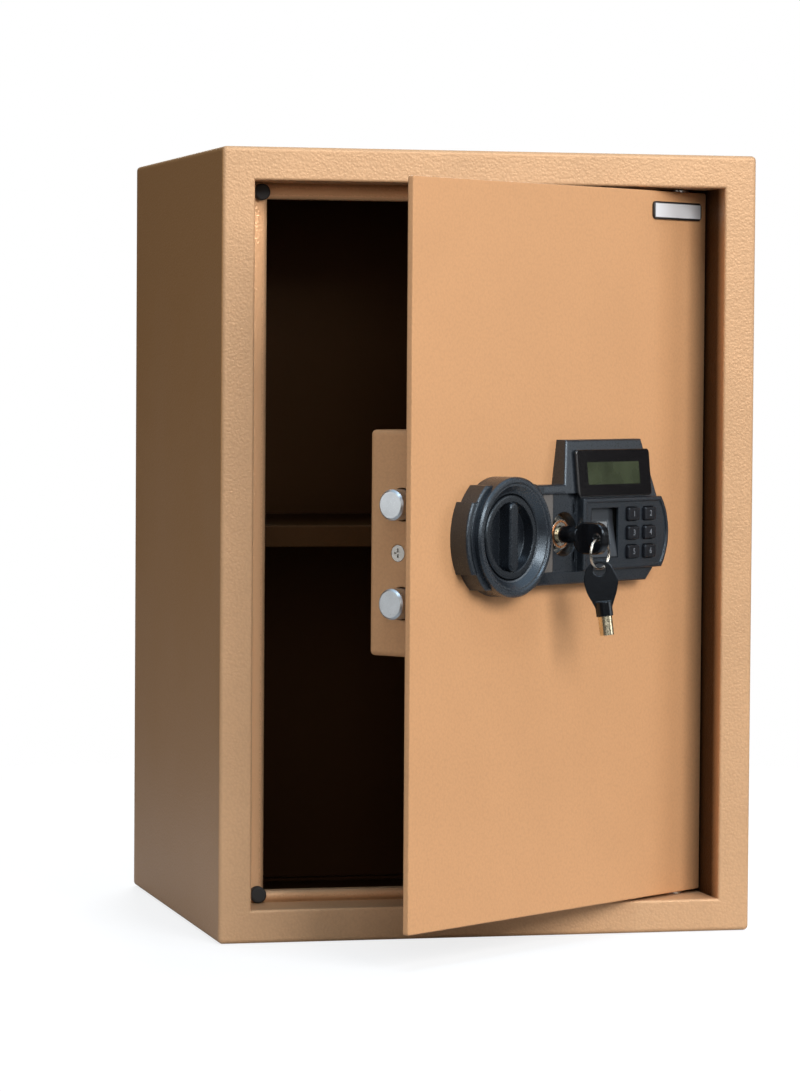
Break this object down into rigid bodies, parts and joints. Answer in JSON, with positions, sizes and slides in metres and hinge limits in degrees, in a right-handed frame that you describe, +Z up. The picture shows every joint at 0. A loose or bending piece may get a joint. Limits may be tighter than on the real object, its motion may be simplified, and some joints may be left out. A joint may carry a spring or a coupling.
{
  "type": "in-room safe",
  "caption": "Folded steel in-room safe with a shelf and a swinging door that carries a turning knob, sliding locking bolts, a keypad and fingerprint lock and a key override with keys on a ring.",
  "frame": {"origin": "centre of the cabinet's base, on its underside (the door that stands open in front is not counted)", "axes": "+Z up, +Y towards the back wall, +X to the right for someone facing the door"},
  "size_m": [0.35, 0.4456, 0.5],
  "materials": {
    "frame_paint": "fine hammered champagne-gold powder coat",
    "door_paint": "smooth satin champagne-gold powder coat",
    "lock_plastic": "charcoal metallic moulded plastic",
    "knob_plastic": "satin charcoal moulded plastic",
    "window_plastic": "glossy black window",
    "lcd": "dark liquid-crystal display",
    "button_plastic": "glossy black key caps",
    "sensor_plastic": "grey finger guide",
    "sensor_face": "dark glossy sensor face",
    "bright_steel": "bright machined steel",
    "zinc_steel": "zinc-plated steel",
    "nickel": "nickel plate",
    "copper_ring": "copper-coloured ring",
    "brass": "turned brass",
    "rubber": "black rubber",
    "board": "green circuit board",
    "battery_wrap": "black and copper wrapped cells",
    "wire": "insulated wire",
    "key_plastic": "glossy black key heads",
    "plate_trim": "dark-edged bright plate",
    "coil": "taped coil"
  },
  "bodies": {
    "cabinet": {"cabinet_shell": "frame_paint", "back_panel": "frame_paint", "hinge_plates": "zinc_steel", "rubber_bumpers": "rubber", "shelf_supports": "frame_paint"},
    "shelf": {"shelf": "frame_paint"},
    "door": {"door_plate": "door_paint", "hinge_brackets": "door_paint", "hinge_pins": "bright_steel", "hinge_washers": "zinc_steel", "name_plate": "plate_trim", "lock_housing": "lock_plastic", "knob_surround": "knob_plastic", "display_window": "window_plastic", "lcd_module": "lcd", "fingerprint_cradle": "sensor_plastic", "fingerprint_sensor": "sensor_face", "keypad_board": "board", "keypad_mat": "rubber", "spindle_bush": "brass", "guide_studs": "zinc_steel", "solenoid_body": "coil", "solenoid_bracket": "zinc_steel", "plunger_spring": "bright_steel", "lock_cylinder": "nickel", "cylinder_ring": "copper_ring", "cylinder_nut": "zinc_steel", "lock_box": "door_paint", "cover_brackets": "zinc_steel", "cover_screws": "zinc_steel", "battery_tray": "lock_plastic", "batteries": "battery_wrap", "battery_contacts": "nickel", "control_board": "board", "board_standoffs": "brass", "cable_grommet": "rubber", "wiring": "wire"},
    "knob": {"knob": "knob_plastic", "spindle": "zinc_steel", "drive_cam": "zinc_steel"},
    "bolts": {"bolt_carriage": "zinc_steel", "locking_bolt_upper": "bright_steel", "locking_bolt_lower": "bright_steel"},
    "lock_plug": {"lock_plug": "nickel", "lock_cam": "zinc_steel", "cam_screw": "zinc_steel", "key_tube": "nickel", "key_head": "key_plastic"},
    "key_ring": {"split_ring": "nickel"},
    "spare_key": {"spare_key_head": "key_plastic", "spare_key_tube": "nickel"},
    "plunger": {"solenoid_plunger": "bright_steel"},
    "battery_cover": {"battery_cover": "lock_plastic"},
    "button_1": {"key_button_1": "button_plastic"},
    "button_2": {"key_button_2": "button_plastic"},
    "button_3": {"key_button_3": "button_plastic"},
    "button_4": {"key_button_4": "button_plastic"},
    "button_5": {"key_button_5": "button_plastic"},
    "button_6": {"key_button_6": "button_plastic"}
  },
  "joints": [
    {"name": "door_swing", "type": "hinge", "parent": "cabinet", "child": "door", "pos_m": [0.135, -0.116, 0.25], "axis": [0, 0, 1], "range_deg": [-37.2, 62.8]},
    {"name": "shelf_lift", "type": "slide", "parent": "cabinet", "child": "shelf", "axis": [0, 0, 1], "range_m": [0, 0.04]},
    {"name": "knob_turn", "type": "hinge", "parent": "door", "child": "knob", "pos_m": [-0.02345, -0.24632, 0.26], "axis": [0.6046, -0.7965, 0], "range_deg": [0, 90]},
    {"name": "bolt_slide", "type": "slide", "parent": "door", "child": "bolts", "axis": [-0.7965, -0.6046, 0], "range_m": [0, 0.014]},
    {"name": "key_turn", "type": "hinge", "parent": "door", "child": "lock_plug", "pos_m": [0.02354, -0.21064, 0.26], "axis": [-0.6046, 0.7965, 0], "range_deg": [0, 90]},
    {"name": "ring_swing", "type": "hinge", "parent": "lock_plug", "child": "key_ring", "pos_m": [0.04543, -0.23948, 0.2585], "axis": [-0.7965, -0.6046, 0], "range_deg": [-5, 60]},
    {"name": "spare_key_swing", "type": "hinge", "parent": "key_ring", "child": "spare_key", "pos_m": [0.04543, -0.23948, 0.2397], "axis": [-0.7965, -0.6046, 0], "range_deg": [-3, 40]},
    {"name": "plunger_slide", "type": "slide", "parent": "door", "child": "plunger", "axis": [0, 0, -1], "range_m": [0, 0.006], "deforming": ["plunger_spring"]},
    {"name": "battery_cover_slide", "type": "slide", "parent": "door", "child": "battery_cover", "axis": [-0.6046, 0.7965, 0], "range_m": [0, 0.03]},
    {"name": "button_1_press", "type": "slide", "parent": "door", "child": "button_1", "axis": [-0.6046, 0.7965, 0], "range_m": [0, 0.001], "stiffness_N_per_m": 300},
    {"name": "button_2_press", "type": "slide", "parent": "door", "child": "button_2", "axis": [-0.6046, 0.7965, 0], "range_m": [0, 0.001], "stiffness_N_per_m": 300},
    {"name": "button_3_press", "type": "slide", "parent": "door", "child": "button_3", "axis": [-0.6046, 0.7965, 0], "range_m": [0, 0.001], "stiffness_N_per_m": 300},
    {"name": "button_4_press", "type": "slide", "parent": "door", "child": "button_4", "axis": [-0.6046, 0.7965, 0], "range_m": [0, 0.001], "stiffness_N_per_m": 300},
    {"name": "button_5_press", "type": "slide", "parent": "door", "child": "button_5", "axis": [-0.6046, 0.7965, 0], "range_m": [0, 0.001], "stiffness_N_per_m": 300},
    {"name": "button_6_press", "type": "slide", "parent": "door", "child": "button_6", "axis": [-0.6046, 0.7965, 0], "range_m": [0, 0.001], "stiffness_N_per_m": 300}
  ],
  "couplings": [
    {"joint": "knob_turn", "follows": "bolt_slide", "rad_per_m": 112.2}
  ]
}
